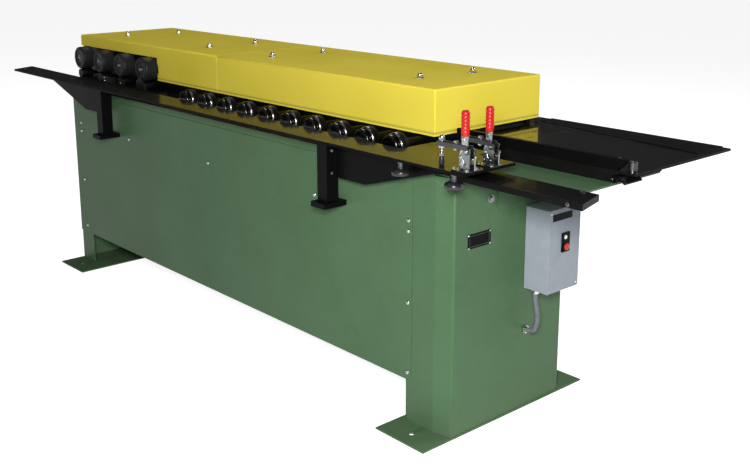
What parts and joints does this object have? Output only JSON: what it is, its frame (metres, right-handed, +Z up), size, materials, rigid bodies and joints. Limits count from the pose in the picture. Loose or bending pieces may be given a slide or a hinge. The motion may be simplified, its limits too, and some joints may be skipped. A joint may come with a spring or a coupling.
{
  "type": "roll forming machine",
  "caption": "Sheet metal duct roll former: folded green base on floor plates, forming rolls under a yellow cover, long side table with toggle clamps, entry tables and switch box",
  "frame": {"origin": "on the floor under the middle of the bounding box", "axes": "+X along the machine to its entry end, +Y to the far side away from the side table, +Z up"},
  "size_m": [3.519, 0.952, 1.1017],
  "materials": {
    "green_paint": "gloss green machine paint",
    "yellow_paint": "gloss yellow machine paint",
    "black_gloss": "gloss black finish",
    "oiled_steel": "machined, oiled",
    "roll_steel": "hardened and polished",
    "polished_steel": "bright",
    "zinc_plate": "bright zinc plate",
    "grey_paint": "satin grey",
    "grey_plastic": "moulded",
    "black_plastic": "moulded",
    "hose_plastic": "ribbed",
    "red_grip": "dipped grip"
  },
  "bodies": {
    "base": {"entry_end_housing": "green_paint", "exit_end_housing": "green_paint", "near_panel": "green_paint", "far_panel": "green_paint", "bed_plate": "oiled_steel", "foot_plates": "green_paint", "near_bearing_plate": "oiled_steel", "far_bearing_plate": "oiled_steel", "entry_cover": "yellow_paint", "exit_cover": "yellow_paint", "near_table": "black_gloss", "entry_table_support": "black_gloss", "exit_table_support": "black_gloss", "adjusting_knobs": "black_plastic", "entry_shelf": "green_paint", "near_entry_bar": "black_gloss", "far_entry_table": "black_gloss", "far_guide_bar": "black_gloss", "far_fence": "black_gloss", "guide_roller": "polished_steel", "lead_in_tab": "black_gloss", "switch_box": "grey_paint", "switch_buttons": "grey_plastic", "blank_plate": "black_plastic", "conduit": "hose_plastic", "conduit_fittings": "polished_steel", "cover_studs": "polished_steel", "upper_rolls": "oiled_steel", "flanging_rolls": "oiled_steel", "clamp_bases": "zinc_plate"},
    "lower_roll_01": {"lower_roll_01": "roll_steel"},
    "lower_roll_02": {"lower_roll_02": "roll_steel"},
    "lower_roll_03": {"lower_roll_03": "roll_steel"},
    "lower_roll_04": {"lower_roll_04": "roll_steel"},
    "lower_roll_05": {"lower_roll_05": "roll_steel"},
    "lower_roll_06": {"lower_roll_06": "roll_steel"},
    "lower_roll_07": {"lower_roll_07": "roll_steel"},
    "lower_roll_08": {"lower_roll_08": "roll_steel"},
    "lower_roll_09": {"lower_roll_09": "roll_steel"},
    "lower_roll_10": {"lower_roll_10": "roll_steel"},
    "flanging_wheel_1": {"flanging_wheel_1": "black_gloss"},
    "flanging_wheel_2": {"flanging_wheel_2": "black_gloss"},
    "flanging_wheel_3": {"flanging_wheel_3": "black_gloss"},
    "flanging_wheel_4": {"flanging_wheel_4": "black_gloss"},
    "near_clamp_handle": {"near_clamp_handle": "red_grip"},
    "near_clamp_arm": {"near_clamp_arm": "zinc_plate"},
    "far_clamp_handle": {"far_clamp_handle": "red_grip"},
    "far_clamp_arm": {"far_clamp_arm": "zinc_plate"}
  },
  "joints": [
    {"name": "lower_roll_01_turn", "type": "hinge", "parent": "base", "child": "lower_roll_01", "pos_m": [0.9435, 0.11675, 0.904], "axis": [0, 1, 0], "continuous": true},
    {"name": "lower_roll_02_turn", "type": "hinge", "parent": "base", "child": "lower_roll_02", "pos_m": [0.8035, 0.11675, 0.904], "axis": [0, 1, 0], "continuous": true},
    {"name": "lower_roll_03_turn", "type": "hinge", "parent": "base", "child": "lower_roll_03", "pos_m": [0.6635, 0.11675, 0.904], "axis": [0, 1, 0], "continuous": true},
    {"name": "lower_roll_04_turn", "type": "hinge", "parent": "base", "child": "lower_roll_04", "pos_m": [0.5235, 0.11675, 0.904], "axis": [0, 1, 0], "continuous": true},
    {"name": "lower_roll_05_turn", "type": "hinge", "parent": "base", "child": "lower_roll_05", "pos_m": [0.3835, 0.11675, 0.904], "axis": [0, 1, 0], "continuous": true},
    {"name": "lower_roll_06_turn", "type": "hinge", "parent": "base", "child": "lower_roll_06", "pos_m": [0.2435, 0.11675, 0.904], "axis": [0, 1, 0], "continuous": true},
    {"name": "lower_roll_07_turn", "type": "hinge", "parent": "base", "child": "lower_roll_07", "pos_m": [0.1035, 0.11675, 0.904], "axis": [0, 1, 0], "continuous": true},
    {"name": "lower_roll_08_turn", "type": "hinge", "parent": "base", "child": "lower_roll_08", "pos_m": [-0.0365, 0.11675, 0.904], "axis": [0, 1, 0], "continuous": true},
    {"name": "lower_roll_09_turn", "type": "hinge", "parent": "base", "child": "lower_roll_09", "pos_m": [-0.1765, 0.11675, 0.904], "axis": [0, 1, 0], "continuous": true},
    {"name": "lower_roll_10_turn", "type": "hinge", "parent": "base", "child": "lower_roll_10", "pos_m": [-0.3165, 0.11675, 0.904], "axis": [0, 1, 0], "continuous": true},
    {"name": "flanging_wheel_1_turn", "type": "hinge", "parent": "base", "child": "flanging_wheel_1", "pos_m": [-0.8055, -0.169, 0.979], "axis": [0, 1, 0], "continuous": true},
    {"name": "flanging_wheel_2_turn", "type": "hinge", "parent": "base", "child": "flanging_wheel_2", "pos_m": [-1.0095, -0.169, 0.979], "axis": [0, 1, 0], "continuous": true},
    {"name": "flanging_wheel_3_turn", "type": "hinge", "parent": "base", "child": "flanging_wheel_3", "pos_m": [-1.2135, -0.169, 0.979], "axis": [0, 1, 0], "continuous": true},
    {"name": "flanging_wheel_4_turn", "type": "hinge", "parent": "base", "child": "flanging_wheel_4", "pos_m": [-1.4175, -0.169, 0.979], "axis": [0, 1, 0], "continuous": true},
    {"name": "near_clamp_handle_swing", "type": "hinge", "parent": "base", "child": "near_clamp_handle", "pos_m": [1.3625, -0.411, 0.954], "axis": [0, 1, 0], "range_deg": [0, 57]},
    {"name": "near_clamp_arm_swing", "type": "hinge", "parent": "base", "child": "near_clamp_arm", "pos_m": [1.3875, -0.411, 0.974], "axis": [0, 1, 0], "range_deg": [0, 95]},
    {"name": "far_clamp_handle_swing", "type": "hinge", "parent": "base", "child": "far_clamp_handle", "pos_m": [1.3625, -0.307, 0.954], "axis": [0, 1, 0], "range_deg": [0, 57]},
    {"name": "far_clamp_arm_swing", "type": "hinge", "parent": "base", "child": "far_clamp_arm", "pos_m": [1.3875, -0.307, 0.974], "axis": [0, 1, 0], "range_deg": [0, 95]}
  ],
  "couplings": [
    {"joint": "lower_roll_02_turn", "follows": "lower_roll_01_turn", "ratio": 1},
    {"joint": "lower_roll_03_turn", "follows": "lower_roll_01_turn", "ratio": 1},
    {"joint": "lower_roll_04_turn", "follows": "lower_roll_01_turn", "ratio": 1},
    {"joint": "lower_roll_05_turn", "follows": "lower_roll_01_turn", "ratio": 1},
    {"joint": "lower_roll_06_turn", "follows": "lower_roll_01_turn", "ratio": 1},
    {"joint": "lower_roll_07_turn", "follows": "lower_roll_01_turn", "ratio": 1},
    {"joint": "lower_roll_08_turn", "follows": "lower_roll_01_turn", "ratio": 1},
    {"joint": "lower_roll_09_turn", "follows": "lower_roll_01_turn", "ratio": 1},
    {"joint": "lower_roll_10_turn", "follows": "lower_roll_01_turn", "ratio": 1},
    {"joint": "flanging_wheel_1_turn", "follows": "lower_roll_01_turn", "ratio": -0.898},
    {"joint": "flanging_wheel_2_turn", "follows": "lower_roll_01_turn", "ratio": -0.898},
    {"joint": "flanging_wheel_3_turn", "follows": "lower_roll_01_turn", "ratio": -0.898},
    {"joint": "flanging_wheel_4_turn", "follows": "lower_roll_01_turn", "ratio": -0.898},
    {"joint": "near_clamp_arm_swing", "follows": "near_clamp_handle_swing", "ratio": 1.6667},
    {"joint": "far_clamp_arm_swing", "follows": "far_clamp_handle_swing", "ratio": 1.6667}
  ]
}
